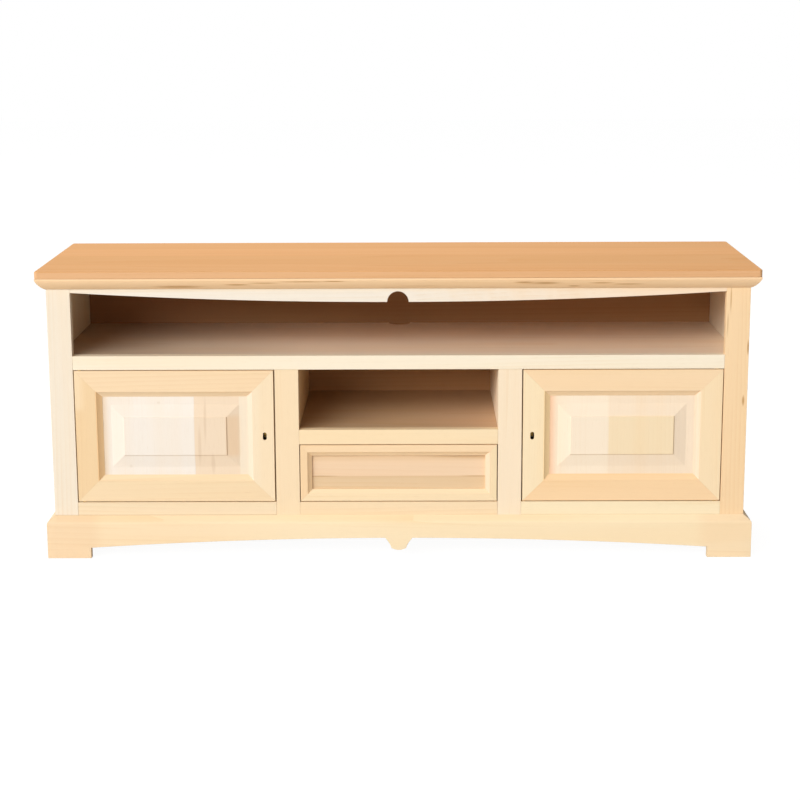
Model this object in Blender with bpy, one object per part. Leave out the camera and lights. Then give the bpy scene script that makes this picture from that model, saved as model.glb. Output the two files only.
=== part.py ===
"""A low cabinet for a television, in unfinished solid wood.

A carcass of boards behind a face frame, with a moulded top and an arched plinth.
One long open bay runs under the top. Below it an open niche and a drawer stand
between two cupboards with raised-panel doors, hung on pivot pins and locked.
Metres, +Z up, the front faces -Y, origin at the middle of the footprint.
"""

import math

import bmesh
import bpy
from mathutils import Matrix, Vector

# Overall size, taken over the top board
WIDTH = 1.550
DEPTH = 0.480
HEIGHT = 0.635

# Joinery allowances
FIT = 0.0003  # gap between pieces that touch
EASE = 0.0004  # eased arris of a sawn edge
REVEAL = 0.002  # gap round an inset door or drawer
LOCK_REVEAL = 0.003  # gap beside the lock stile of a door

# Top board and the moulding planted under it
TOP_THICKNESS = 0.0155
TOP_OVERHANG = 0.0205
BACK_OVERHANG = 0.0195
TOP_ROUND = 0.003
MOULDING_HEIGHT = 0.0248
MOULDING_SETBACK = 0.0005
MOULDING_FILLET = 0.005
MOULDING_QUIRK = 0.001
MOULDING_CURVE = 1.45  # 2 gives a quarter ellipse, 1 a chamfer
CURVE_STEPS = 10

# Face frame
STILE_WIDTH = 0.051
NICHE_WIDTH = 0.433
RAIL_DEPTH = 0.022
MID_RAIL_HEIGHT = 0.0305
NICHE_RAIL_HEIGHT = 0.0325
FRIEZE_END = 0.0328
FRIEZE_SAG = 0.0215
NOTCH_RADIUS = 0.023
STOP_DEPTH = 0.012
STOP_LIP = 0.010

# Heights of the openings, from the floor up
OPENING_BASE = 0.1225
DRAWER_OPENING = 0.1295
NICHE_OPENING = 0.1335

# Carcass boards
SIDE_THICKNESS = 0.020
DIVIDER_THICKNESS = 0.020
SHELF_THICKNESS = 0.018
BACK_THICKNESS = 0.006
BACK_INSET = 0.012
REAR_BEARING = 0.012
CABLE_RADIUS = 0.025

# Plinth and feet
PLINTH_HEIGHT = 0.0932
PLINTH_THICKNESS = 0.0165
PLINTH_CHAMFER = 0.0125
FOOT_WIDTH = 0.0955
FOOT_STEP = 0.0237
ARCH_RISE = 0.0214
SIDE_ARCH_RISE = 0.010
PENDANT_TOP = 0.060
PENDANT_TIP = 0.033
PENDANT_LOW = 0.0175
PENDANT_ROUND = 0.0047
PENDANT_FLARE = 1.5  # 1 gives straight sides, more spreads them at the top
BLOCK_HEIGHT = 0.060
BLOCK_SETBACK = 0.007

# Doors
DOOR_FLAT = 0.0465
DOOR_SLOPE = 0.012
DOOR_SINK = 0.009
DOOR_STRIP = 0.0175
DOOR_BEVEL = 0.027
FIELD_SINK = 0.002
FIELD_STEP = 0.0015

# Panels in their grooves
TONGUE = 0.007
PANEL_EDGE = 0.005
GROOVE_LIP = 0.0015
SLOPE_HOLLOW = 1.4  # 1 gives a flat slope, more hollows it

# Pivot pins of the doors
PIVOT_INSET = 0.012
PIVOT_SINK = 0.006
PIN_RADIUS = 0.0025
PIN_BURIED = 0.014
PIN_SIDES = 16

# Locks
KEY_INSET = 0.0203
KEY_WIDTH = 0.0075
KEY_HEIGHT = 0.015
CASE_INSET = 0.011
CASE_WIDTH = 0.036
CASE_HEIGHT = 0.060
CASE_DEPTH = 0.0125
CASE_WALL = 0.0037
BOLT_LENGTH = 0.028
BOLT_HEIGHT = 0.014
BOLT_THICKNESS = 0.005
BOLT_TRAVEL = 0.020
STRIKE_PLAY = 0.0015

# Drawer
DRAWER_THICKNESS = 0.020
DRAWER_FLAT = 0.0155
DRAWER_SLOPE = 0.0095
DRAWER_SINK = 0.0115
DRAWER_LIP = 0.007
BOX_REAR_GAP = 0.0317  # room left behind the drawer box
BOX_SIDE = 0.012
BOX_HEIGHT = 0.100
BOX_LIFT = 0.006
BOX_BACK_DROP = 0.008
BOTTOM_THICKNESS = 0.004
BOTTOM_LIFT = 0.006
BOTTOM_GROOVE = 0.004
RUNNER_HEIGHT = 0.012
RUNNER_GROOVE = 0.005
RUNNER_PLAY = 0.0005

# Colours, roughness and metallic share of the finishes
TAN_WOOD = ((0.79, 0.45, 0.21), 0.55, 0.0)
PALE_WOOD = ((0.93, 0.78, 0.56), 0.60, 0.0)
WARM_WOOD = ((0.93, 0.70, 0.43), 0.60, 0.0)
INNER_WOOD = ((0.60, 0.40, 0.22), 0.65, 0.0)
PANEL_WOOD = ((0.95, 0.82, 0.64), 0.60, 0.0)
STEEL = ((0.55, 0.54, 0.52), 0.35, 1.0)
BRASS = ((0.72, 0.52, 0.24), 0.35, 1.0)

# Places that follow from the sizes
half = WIDTH / 2 - TOP_OVERHANG  # half width of the carcass
face = TOP_OVERHANG - DEPTH / 2  # front plane of the face frame
rear = DEPTH / 2 - BACK_OVERHANG  # back edge of the sides
outer_edge = half - STILE_WIDTH  # hinge side of a cupboard opening
niche_edge = NICHE_WIDTH / 2  # side of the niche and of the drawer opening
door_edge = niche_edge + STILE_WIDTH  # lock side of a cupboard opening
inner_side = half - SIDE_THICKNESS
top_under = HEIGHT - TOP_THICKNESS
drawer_top = OPENING_BASE + DRAWER_OPENING
niche_floor = drawer_top + NICHE_RAIL_HEIGHT
door_top = niche_floor + NICHE_OPENING
shelf_top = door_top + MID_RAIL_HEIGHT
frame_back = face + RAIL_DEPTH
stop_back = frame_back + STOP_DEPTH
panel_front = rear - BACK_INSET - BACK_THICKNESS  # front face of the back panel
door_thickness = RAIL_DEPTH - FIT  # the doors close against the stop lip
mitre_gap = 0.75 * FIT

RIGHT = Vector((1, 0, 0))
DEEP = Vector((0, 1, 0))
UP = Vector((0, 0, 1))


def clear_scene():
    for old in list(bpy.data.objects):
        bpy.data.objects.remove(old, do_unlink=True)


def finish_material(name, finish):
    colour, roughness, metallic = finish
    material = bpy.data.materials.new(name)
    material.use_nodes = True
    shader = material.node_tree.nodes["Principled BSDF"]
    shader.inputs["Base Color"].default_value = (*colour, 1.0)
    shader.inputs["Roughness"].default_value = roughness
    shader.inputs["Metallic"].default_value = metallic
    return material


def joint_empty(name, place):
    empty = bpy.data.objects.new(name, None)
    empty.location = place
    bpy.context.collection.objects.link(empty)
    return empty


def add_object(name, bm, finish=None, carrier=None):
    bmesh.ops.recalc_face_normals(bm, faces=bm.faces)
    mesh = bpy.data.meshes.new(name)
    bm.to_mesh(mesh)
    bm.free()
    piece = bpy.data.objects.new(name, mesh)
    bpy.context.collection.objects.link(piece)
    if finish:
        mesh.materials.append(finish_material(name, finish))
    if carrier:
        piece.parent = carrier
        piece.matrix_parent_inverse = Matrix.Translation(-carrier.location)
    return piece


def board(name, low, high, finish, carrier=None, ease=EASE, steps=1):
    """A straight board between two corners, with eased arrises."""
    bm = bmesh.new()
    bmesh.ops.create_cube(bm, size=1.0)
    low = Vector(low)
    size = Vector(high) - low
    for vert in bm.verts:
        vert.co = low + Vector(((co + 0.5) * span for co, span in zip(vert.co, size)))
    bmesh.ops.bevel(bm, geom=bm.edges[:], offset=ease, segments=steps, profile=0.5, affect="EDGES")
    return add_object(name, bm, finish, carrier)


def loft(name, loops, finish=None, carrier=None):
    """A closed solid through loops of points, with a flat cap on the first and the last."""
    bm = bmesh.new()
    rings = [[bm.verts.new(point) for point in loop] for loop in loops]
    for ring, following in zip(rings, rings[1:]):
        for i in range(len(ring)):
            j = (i + 1) % len(ring)
            bm.faces.new((ring[i], ring[j], following[j], following[i]))
    bm.faces.new(rings[0])
    bm.faces.new(rings[-1])
    return add_object(name, bm, finish, carrier)


def prism(name, outline, place, start, end, finish=None, carrier=None):
    """An outline of (u, v) points drawn straight from one distance to another."""
    loops = [[place(u, v, distance) for u, v in outline] for distance in (start, end)]
    return loft(name, loops, finish, carrier)


def member(name, section, corner, along, inward, deep, length, mitred, finish, carrier=None):
    """A strip whose section runs along one line, with its ends mitred or square."""
    start, end = [], []
    for u, w in section:
        base = corner + inward * u + deep * w
        start.append(base + along * (u + mitre_gap if mitred[0] else 0.0))
        end.append(base + along * (length - (u + mitre_gap if mitred[1] else 0.0)))
    return loft(name, [start, end], finish, carrier)


def cutter(piece):
    piece.hide_render = True
    piece.display_type = "WIRE"
    return piece


def cut(piece, tool):
    modifier = piece.modifiers.new("cut", "BOOLEAN")
    modifier.operation = "DIFFERENCE"
    modifier.solver = "EXACT"
    modifier.object = tool


def spread(start, end, count):
    return [start + (end - start) * i / count for i in range(count + 1)]


def across(u, v, distance):  # an outline seen from the front, drawn backwards
    return Vector((u, distance, v))


def upright(u, v, distance):  # an outline seen from above, drawn up
    return Vector((u, v, distance))


def arc_outline(half_span, low, rise, ends=0.0):
    """Points of a shallow arch from one end towards the middle gap of half width ends."""
    return [(x, low + rise * (1 - (x / half_span) ** 2)) for x in spread(-half_span, -ends, CURVE_STEPS)]


def mirrored(points):
    return [(-u, v) for u, v in reversed(points)]


def round_rod(name, x, y, low, high, radius, finish=None, carrier=None):
    turn = 2 * math.pi / PIN_SIDES
    ring = [(x + radius * math.cos(turn * i), y + radius * math.sin(turn * i)) for i in range(PIN_SIDES)]
    return prism(name, ring, upright, low, high, finish, carrier)


def frame_section(flat, slope, sink, lip, thickness):
    """Section of a panelled frame: flat face, hollowed slope, lip, groove for the panel."""
    inner = flat + slope
    drop = sink - lip
    curve = []
    for share in spread(0.0, 1.0, CURVE_STEPS // 2):
        curve.append((flat + slope * share, drop * (1 - (1 - share) ** SLOPE_HOLLOW)))
    groove_back = sink + PANEL_EDGE + 2 * FIT
    return [
        (0.0, 0.0),
        *curve,
        (inner, sink),
        (inner - TONGUE, sink),
        (inner - TONGUE, groove_back),
        (inner, groove_back),
        (inner, thickness),
        (0.0, thickness),
    ]


def panel_loft(name, rings, low, high, finish, carrier):
    """A panel through rectangles, each an inset from the frame's edge and a depth."""
    loops = []
    for inset, depth in rings:
        y = face + depth
        left, right = low.x + inset, high.x - inset
        bottom, top = low.z + inset, high.z - inset
        loops.append([Vector((left, y, bottom)), Vector((right, y, bottom)),
                      Vector((right, y, top)), Vector((left, y, top))])
    return loft(name, loops, finish, carrier)


def frame_of_four(names, section, low, high, finish, carrier):
    """Left, right, bottom and top members of a mitred frame between two corners."""
    width, height = high.x - low.x, high.z - low.z
    far_right = Vector((high.x, low.y, low.z))
    far_top = Vector((low.x, low.y, high.z))
    runs = [
        (low, UP, RIGHT, height),
        (far_right, UP, -RIGHT, height),
        (low, RIGHT, UP, width),
        (far_top, RIGHT, -UP, width),
    ]
    pieces = []
    for name, (corner, along, inward, length) in zip(names, runs):
        pieces.append(member(name, section, corner, along, inward, DEEP, length,
                             (True, True), finish, carrier))
    return pieces


def build_top():
    board("top_board", (-WIDTH / 2, -DEPTH / 2, top_under), (WIDTH / 2, DEPTH / 2, HEIGHT),
          TAN_WOOD, ease=TOP_ROUND, steps=3)
    reach = TOP_OVERHANG - MOULDING_SETBACK - FIT
    drop = MOULDING_HEIGHT - MOULDING_FILLET
    ovolo = []
    for angle in spread(0.0, math.pi / 2, CURVE_STEPS):
        across, down = (share ** (2 / MOULDING_CURVE) for share in (math.cos(angle), math.sin(angle)))
        ovolo.append((reach - (reach - MOULDING_QUIRK) * across, MOULDING_FILLET + drop * down))
    section = [(0.0, 0.0), (0.0, MOULDING_FILLET), *ovolo, (reach, 0.0)]
    edge = WIDTH / 2 - MOULDING_SETBACK
    front = MOULDING_SETBACK - DEPTH / 2
    level = top_under - FIT
    left_corner = Vector((-edge, front, level))
    right_corner = Vector((edge, front, level))
    member("top_moulding_front", section, left_corner, RIGHT, DEEP, -UP, 2 * edge, (True, True), WARM_WOOD)
    for side, corner, inward in (("left", left_corner, RIGHT), ("right", right_corner, -RIGHT)):
        member(f"top_moulding_{side}", section, corner, DEEP, inward, -UP, rear - front,
               (True, False), WARM_WOOD)


def build_boards():
    low_end, high_end = BLOCK_HEIGHT + FIT, top_under - FIT
    back_end = panel_front - FIT
    for side, sign in (("left", -1), ("right", 1)):
        inner, outer = sorted((sign * inner_side, sign * half))
        board(f"side_panel_{side}", (inner, frame_back + FIT, low_end), (outer, rear, high_end), PALE_WOOD)
        near, far = sorted((sign * niche_edge, sign * (niche_edge + DIVIDER_THICKNESS)))
        board(f"divider_{side}", (near, stop_back + FIT, OPENING_BASE + FIT),
              (far, back_end, shelf_top - SHELF_THICKNESS - FIT), INNER_WOOD)
    span = inner_side - FIT
    base = OPENING_BASE - SHELF_THICKNESS
    board("bottom_panel", (-span, frame_back + FIT, base), (span, back_end, OPENING_BASE), INNER_WOOD)
    board("niche_shelf", (FIT - niche_edge, frame_back + FIT, niche_floor - SHELF_THICKNESS),
          (niche_edge - FIT, back_end, niche_floor), INNER_WOOD)
    shelf = board("long_shelf", (-span, frame_back + FIT, shelf_top - SHELF_THICKNESS),
                  (span, back_end, shelf_top), INNER_WOOD)
    cable = round_rod("cable_cut", 0.0, back_end, shelf_top - 2 * SHELF_THICKNESS,
                      shelf_top + SHELF_THICKNESS, CABLE_RADIUS)
    cut(shelf, cutter(cable))
    board("back_panel", (-span, panel_front, base),
          (span, panel_front + BACK_THICKNESS, high_end), INNER_WOOD)
    rail_front = panel_front - REAR_BEARING
    board("rear_rail", (-span, rail_front, low_end), (span, rear, base - FIT), INNER_WOOD)


def build_face_frame():
    low_end, high_end = BLOCK_HEIGHT + FIT, top_under - FIT
    for side, sign in (("left", -1), ("right", 1)):
        near, far = sorted((sign * outer_edge, sign * half))
        board(f"outer_stile_{side}", (near, face, low_end), (far, frame_back, high_end), PALE_WOOD)
    span = outer_edge - FIT
    mid = board("mid_rail", (-span, face, door_top), (span, frame_back, shelf_top), PALE_WOOD)
    low_rails = {}
    for side, left, right in (("left", -outer_edge, -door_edge), ("centre", -niche_edge, niche_edge),
                              ("right", door_edge, outer_edge)):
        low_rails[side] = board(f"bottom_rail_{side}", (left + FIT, face, low_end),
                                (right - FIT, frame_back, OPENING_BASE), WARM_WOOD)
    board("niche_rail", (FIT - niche_edge, face, drawer_top),
          (niche_edge - FIT, frame_back, niche_floor), WARM_WOOD)
    build_frieze(span, high_end)
    build_inner_stiles(low_end)
    return mid, low_rails


def build_frieze(span, high_end):
    ends = top_under - FRIEZE_END
    curve = arc_outline(span, ends, -FRIEZE_SAG, NOTCH_RADIUS)
    centre = ends - FRIEZE_SAG
    notch = []
    for angle in spread(math.pi, math.pi / 2, CURVE_STEPS // 2)[1:]:
        notch.append((NOTCH_RADIUS * math.cos(angle), centre + NOTCH_RADIUS * math.sin(angle)))
    half_curve = curve + notch
    outline = half_curve + mirrored(half_curve)[1:] + [(span, high_end), (-span, high_end)]
    prism("frieze", outline, across, face, frame_back, PALE_WOOD)


def build_inner_stiles(low_end):
    """The inner stiles carry a stop lip for the doors, with a mortise for the lock bolt."""
    key_level = (OPENING_BASE + door_top) / 2
    bolt_front = face + door_thickness + FIT + CASE_WALL
    for side, sign in (("left", -1), ("right", 1)):
        outline = [(niche_edge, face), (door_edge, face), (door_edge, frame_back),
                   (door_edge + STOP_LIP, frame_back), (door_edge + STOP_LIP, stop_back),
                   (niche_edge, stop_back)]
        stile = prism(f"inner_stile_{side}", [(sign * x, y) for x, y in outline], upright,
                      low_end, door_top - FIT, WARM_WOOD)
        floor_edges = [(niche_edge - EASE, frame_back), (door_edge + 2 * STOP_LIP, frame_back),
                       (door_edge + 2 * STOP_LIP, stop_back + EASE), (niche_edge - EASE, stop_back + EASE)]
        floor_cut = prism(f"floor_cut_{side}", [(sign * x, y) for x, y in floor_edges], upright,
                          low_end - SHELF_THICKNESS, OPENING_BASE + FIT)
        cut(stile, cutter(floor_cut))
        tip = door_edge + LOCK_REVEAL + CASE_INSET - BOLT_TRAVEL - STRIKE_PLAY
        inner, outer = sorted((sign * tip, sign * (door_edge + 2 * STOP_LIP)))
        strike = board(f"strike_cut_{side}",
                       (inner, bolt_front - STRIKE_PLAY, key_level - BOLT_HEIGHT / 2 - STRIKE_PLAY),
                       (outer, bolt_front + BOLT_THICKNESS + STRIKE_PLAY,
                        key_level + BOLT_HEIGHT / 2 + STRIKE_PLAY), None)
        cut(stile, cutter(strike))


def build_plinth():
    outer, inner = half + PLINTH_THICKNESS, half + FIT
    foot_edge = outer - FOOT_WIDTH
    arch = [(-foot_edge, 0.0), *arc_outline(foot_edge, FOOT_STEP, ARCH_RISE, PENDANT_TOP / 2)]
    pendant_high = arch[-1][1]
    pendant_foot = PENDANT_LOW + PENDANT_ROUND
    pendant = []
    for share in spread(0.0, 1.0, CURVE_STEPS // 2)[1:]:
        flare = (PENDANT_TOP - PENDANT_TIP) * (1 - share) ** PENDANT_FLARE
        x = (PENDANT_TIP + flare) / 2
        pendant.append((-x, pendant_high + (pendant_foot - pendant_high) * share))
    for share in spread(1.0, 0.0, CURVE_STEPS // 2)[1:]:
        pendant.append((-PENDANT_TIP / 2 * share, PENDANT_LOW + PENDANT_ROUND * share ** 2))
    left_half = arch + pendant
    lower = left_half + mirrored(left_half)[1:]
    loops = []
    for reach, y, top in ((outer, face - PLINTH_THICKNESS, PLINTH_HEIGHT - PLINTH_CHAMFER),
                          (inner, face - FIT, PLINTH_HEIGHT)):
        end = reach - mitre_gap
        outline = [(-end, 0.0), *lower, (end, 0.0), (end, top), (-end, top)]
        loops.append([across(x, z, y) for x, z in outline])
    loft("plinth_front", loops, WARM_WOOD)

    start, end = face - PLINTH_THICKNESS, rear
    middle = (start + end) / 2
    gap_half = (end - start) / 2 - FOOT_WIDTH
    side_arch = [(-gap_half, 0.0), *arc_outline(gap_half, FOOT_STEP, SIDE_ARCH_RISE)]
    side_lower = [(middle + y, z) for y, z in side_arch + mirrored(side_arch)[1:]]
    for side, sign in (("left", -1), ("right", 1)):
        loops = []
        for x, top, front in ((outer, PLINTH_HEIGHT - PLINTH_CHAMFER, start),
                              (inner, PLINTH_HEIGHT, face - FIT)):
            nose = front + mitre_gap
            outline = [(nose, 0.0), *side_lower, (end, 0.0), (end, top), (nose, top)]
            loops.append([Vector((sign * x, y, z)) for y, z in outline])
        loft(f"plinth_{side}", loops, WARM_WOOD)
    build_foot_blocks(foot_edge + BLOCK_SETBACK)


def build_foot_blocks(block_edge):
    """Angle blocks behind the plinth's feet, which carry the carcass."""
    reach = FOOT_WIDTH - PLINTH_THICKNESS - BLOCK_SETBACK
    rear_rail_front = panel_front - REAR_BEARING
    for side, sign in (("left", -1), ("right", 1)):
        for place, edge, inner, tail in (("front", face, frame_back, face + reach),
                                         ("rear", rear, rear_rail_front, rear - reach - PLINTH_THICKNESS)):
            outline = [(half, edge), (block_edge, edge), (block_edge, inner),
                       (inner_side, inner), (inner_side, tail), (half, tail)]
            prism(f"foot_{place}_{side}", [(sign * x, y) for x, y in outline], upright,
                  0.0, BLOCK_HEIGHT, WARM_WOOD)


def build_door(side, sign, mid_rail, low_rail):
    hinge_x, free_x = sign * (outer_edge - REVEAL), sign * (door_edge + LOCK_REVEAL)
    pivot = Vector((hinge_x - sign * PIVOT_INSET, face + PIVOT_SINK, OPENING_BASE))
    hinge = joint_empty(f"door_hinge_{side}", pivot)
    low = Vector((min(hinge_x, free_x), face, OPENING_BASE + REVEAL))
    high = Vector((max(hinge_x, free_x), face, door_top - REVEAL))
    section = frame_section(DOOR_FLAT, DOOR_SLOPE, DOOR_SINK, GROOVE_LIP, door_thickness)
    edges = ("hinge_stile", "lock_stile") if sign < 0 else ("lock_stile", "hinge_stile")
    names = [f"door_{side}_{edge}" for edge in (*edges, "bottom_rail", "top_rail")]
    members = dict(zip((*edges, "bottom_rail", "top_rail"),
                       frame_of_four(names, section, low, high, WARM_WOOD, hinge)))
    inner = DOOR_FLAT + DOOR_SLOPE
    front = DOOR_SINK + FIT
    rim = inner - TONGUE + FIT
    rise = inner + DOOR_STRIP
    field = rise + DOOR_BEVEL
    rings = [(rim, front + PANEL_EDGE), (rim, front), (rise, front),
             (field, FIELD_SINK + FIELD_STEP), (field + FIELD_STEP / 2, FIELD_SINK)]
    panel_loft(f"door_{side}_panel", rings, low, high, PANEL_WOOD, hinge)

    for end, edge, rail, neighbour in (("top", high.z, "top_rail", mid_rail),
                                       ("bottom", low.z, "bottom_rail", low_rail)):
        outward = 1 if end == "top" else -1
        ends = sorted((edge - outward * PIN_BURIED, edge + outward * (REVEAL + PIN_BURIED)))
        round_rod(f"door_{side}_{end}_pivot", pivot.x, pivot.y, *ends, PIN_RADIUS, BRASS, hinge)
        hole = cutter(round_rod(f"pivot_cut_{side}_{end}", pivot.x, pivot.y, ends[0] - FIT, ends[1] + FIT,
                                PIN_RADIUS + FIT))
        for piece in (members[rail], members["hinge_stile"], neighbour):
            cut(piece, hole)
    build_lock(side, sign, free_x, hinge, members["lock_stile"])


def build_lock(side, sign, free_x, hinge, lock_stile):
    """A rim lock on the back of the lock stile, with its bolt drawn in."""
    level = (OPENING_BASE + door_top) / 2
    back = face + door_thickness + FIT
    key_x = free_x + sign * KEY_INSET
    keyhole = []
    for top in (1, -1):
        for angle in spread(0.0, math.pi, CURVE_STEPS // 2):
            lift = (KEY_HEIGHT - KEY_WIDTH) / 2 + KEY_WIDTH / 2 * math.sin(angle)
            keyhole.append((key_x + top * KEY_WIDTH / 2 * math.cos(angle), level + top * lift))
    key_cut = cutter(prism(f"key_cut_{side}", keyhole, across, face - CASE_WALL, back + 2 * CASE_WALL))
    cut(lock_stile, key_cut)

    near_x = free_x + sign * CASE_INSET
    far_x = near_x + sign * CASE_WIDTH
    case = board(f"door_{side}_lock_case", (min(near_x, far_x), back, level - CASE_HEIGHT / 2),
                 (max(near_x, far_x), back + CASE_DEPTH, level + CASE_HEIGHT / 2), STEEL, hinge)
    cut(case, key_cut)
    bolt_front = back + CASE_WALL
    bolt_far = near_x + sign * BOLT_LENGTH
    mouth = near_x - sign * CASE_WALL
    pocket_far = bolt_far + sign * FIT
    pocket = board(f"bolt_cut_{side}",
                   (min(mouth, pocket_far), bolt_front - FIT, level - BOLT_HEIGHT / 2 - FIT),
                   (max(mouth, pocket_far), bolt_front + BOLT_THICKNESS + FIT,
                    level + BOLT_HEIGHT / 2 + FIT), None)
    cut(case, cutter(pocket))
    slide = joint_empty(f"bolt_slide_{side}", Vector((near_x, bolt_front, level)))
    board(f"door_{side}_lock_bolt", (min(near_x, bolt_far), bolt_front, level - BOLT_HEIGHT / 2),
          (max(near_x, bolt_far), bolt_front + BOLT_THICKNESS, level + BOLT_HEIGHT / 2), BRASS, slide)


def build_drawer():
    slide = joint_empty("drawer_slide", Vector((0.0, face, OPENING_BASE)))
    reach = niche_edge - REVEAL
    low = Vector((-reach, face, OPENING_BASE + REVEAL))
    high = Vector((reach, face, drawer_top - REVEAL))
    section = frame_section(DRAWER_FLAT, DRAWER_SLOPE, DRAWER_SINK, DRAWER_LIP, DRAWER_THICKNESS)
    names = [f"drawer_front_{edge}" for edge in ("left", "right", "bottom", "top")]
    frame_of_four(names, section, low, high, WARM_WOOD, slide)
    rim = DRAWER_FLAT + DRAWER_SLOPE - TONGUE + FIT
    rings = [(rim, DRAWER_SINK + FIT + PANEL_EDGE), (rim, DRAWER_SINK + FIT)]
    panel_loft("drawer_front_panel", rings, low, high, WARM_WOOD, slide)

    start = face + DRAWER_THICKNESS + FIT
    end = panel_front - BOX_REAR_GAP
    base = low.z + BOX_LIFT
    crown = base + BOX_HEIGHT
    inner = reach - BOX_SIDE
    groove_x = reach - RUNNER_GROOVE
    runner_low = (base + crown - RUNNER_HEIGHT) / 2
    runner_high = runner_low + RUNNER_HEIGHT
    floor_low = base + BOTTOM_LIFT
    floor_high = floor_low + BOTTOM_THICKNESS
    outline = [
        (reach, base), (reach, runner_low - RUNNER_PLAY), (groove_x, runner_low - RUNNER_PLAY),
        (groove_x, runner_high + FIT), (reach, runner_high + FIT), (reach, crown),
        (inner, crown), (inner, floor_high + FIT), (inner + BOTTOM_GROOVE, floor_high + FIT),
        (inner + BOTTOM_GROOVE, floor_low - FIT), (inner, floor_low - FIT), (inner, base),
    ]
    for side, sign in (("left", -1), ("right", 1)):
        prism(f"drawer_side_{side}", [(sign * x, z) for x, z in outline], across,
              start, end, INNER_WOOD, slide)
        near, far = sorted((sign * (groove_x + RUNNER_PLAY), sign * (niche_edge - FIT)))
        board(f"drawer_runner_{side}", (near, stop_back + FIT, runner_low),
              (far, end, runner_high), INNER_WOOD)
    floor_span = inner + BOTTOM_GROOVE - FIT
    board("drawer_bottom", (-floor_span, start, floor_low), (floor_span, end, floor_high),
          INNER_WOOD, slide)
    span = inner - FIT
    board("drawer_back", (-span, end - BOX_SIDE, floor_high + FIT), (span, end, crown - BOX_BACK_DROP),
          INNER_WOOD, slide)


def build_cabinet():
    clear_scene()
    build_top()
    build_boards()
    mid_rail, low_rails = build_face_frame()
    build_plinth()
    build_door("left", -1, mid_rail, low_rails["left"])
    build_door("right", 1, mid_rail, low_rails["right"])
    build_drawer()


build_cabinet()
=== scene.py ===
import math

import bpy
from mathutils import Matrix, Vector


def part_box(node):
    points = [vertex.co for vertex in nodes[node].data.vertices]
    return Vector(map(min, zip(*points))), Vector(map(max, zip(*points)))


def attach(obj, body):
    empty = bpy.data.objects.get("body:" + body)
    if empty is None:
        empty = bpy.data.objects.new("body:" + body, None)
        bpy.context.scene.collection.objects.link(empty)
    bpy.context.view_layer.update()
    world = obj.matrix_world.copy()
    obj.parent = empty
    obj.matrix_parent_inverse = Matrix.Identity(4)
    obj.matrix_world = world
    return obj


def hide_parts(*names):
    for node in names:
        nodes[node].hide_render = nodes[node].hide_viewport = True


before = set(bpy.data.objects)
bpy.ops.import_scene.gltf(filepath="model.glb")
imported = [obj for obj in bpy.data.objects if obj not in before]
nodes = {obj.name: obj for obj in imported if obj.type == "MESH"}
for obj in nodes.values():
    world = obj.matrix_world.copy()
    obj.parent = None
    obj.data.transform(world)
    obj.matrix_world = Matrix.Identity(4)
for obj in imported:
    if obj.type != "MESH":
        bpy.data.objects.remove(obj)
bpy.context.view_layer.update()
print("frame loaded:", len(nodes), "nodes")

rightWay, backWay, upWay = Vector((1, 0, 0)), Vector((0, 1, 0)), Vector((0, 0, 1))
bothSides = (("left", -1), ("right", 1))
fine, loose = 1e-6, 1e-5  # metres within which places count as the same
squareOn = 0.99  # a face whose normal agrees this far with a direction looks that way
selectModes = {"EDGE": (False, True, False), "FACE": (False, False, True)}
shown = {}  # every new piece by name


# modelling by hand: one object in hand at a time

def putDown():
    if bpy.context.mode != "OBJECT":
        bpy.ops.object.mode_set(mode="OBJECT")
    bpy.ops.object.select_all(action="DESELECT")


def takeUp(piece, edit=False):
    putDown()
    piece.select_set(True)
    bpy.context.view_layer.objects.active = piece
    if edit:
        bpy.ops.object.mode_set(mode="EDIT")
        bpy.ops.mesh.select_all(action="SELECT")


def nameNew(name):
    piece = bpy.context.object
    piece.name = piece.data.name = name
    bpy.ops.object.transform_apply(location=True, rotation=True, scale=True)
    return piece


def freshBox(name, low, high):
    putDown()
    low, high = Vector(low), Vector(high)
    bpy.ops.mesh.primitive_cube_add(size=1, location=(low + high) / 2, scale=high - low)
    return nameNew(name)


def freshRod(name, start, end, radius, sides=48):
    putDown()
    run = Vector(end) - Vector(start)
    turn = run.to_track_quat("Z", "Y").to_euler()
    bpy.ops.mesh.primitive_cylinder_add(vertices=sides, radius=radius, depth=run.length,
                                        location=(Vector(start) + Vector(end)) / 2, rotation=turn)
    return nameNew(name)


def freshOutline(name, points, start, end):  # points in 3-D on one plane, drawn from start to end
    putDown()
    bpy.ops.mesh.primitive_circle_add(vertices=len(points), fill_type="NGON")
    piece = nameNew(name)
    for vertex, point in zip(piece.data.vertices, points):
        vertex.co = Vector(point) + Vector(start)
    takeUp(piece, edit=True)
    bpy.ops.mesh.extrude_region_move(TRANSFORM_OT_translate={"value": Vector(end) - Vector(start)})
    bpy.ops.mesh.select_all(action="SELECT")
    bpy.ops.mesh.normals_make_consistent(inside=False)
    putDown()
    return piece


def pick(piece, kind, test):
    takeUp(piece)
    mesh = piece.data
    for part in (*mesh.vertices, *mesh.edges, *mesh.polygons):
        part.select = False
    bpy.context.tool_settings.mesh_select_mode = selectModes[kind]
    if kind == "EDGE":
        for edge in mesh.edges:
            edge.select = test(*(mesh.vertices[i].co for i in edge.vertices))
    else:
        for side in mesh.polygons:
            side.select = test(side.center, side.normal)
    bpy.ops.object.mode_set(mode="EDIT")


def roundOff(piece, test, width, steps=2, shape=0.5):
    pick(piece, "EDGE", test)
    bpy.ops.mesh.bevel(offset=width, segments=steps, profile=shape, affect="EDGES", clamp_overlap=True)
    putDown()


def saw(piece, point, normal, remove=True):  # takes away what the normal points to, or only marks a line
    takeUp(piece, edit=True)
    bpy.ops.mesh.bisect(plane_co=point, plane_no=normal, use_fill=remove, clear_outer=remove)
    putDown()


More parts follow.
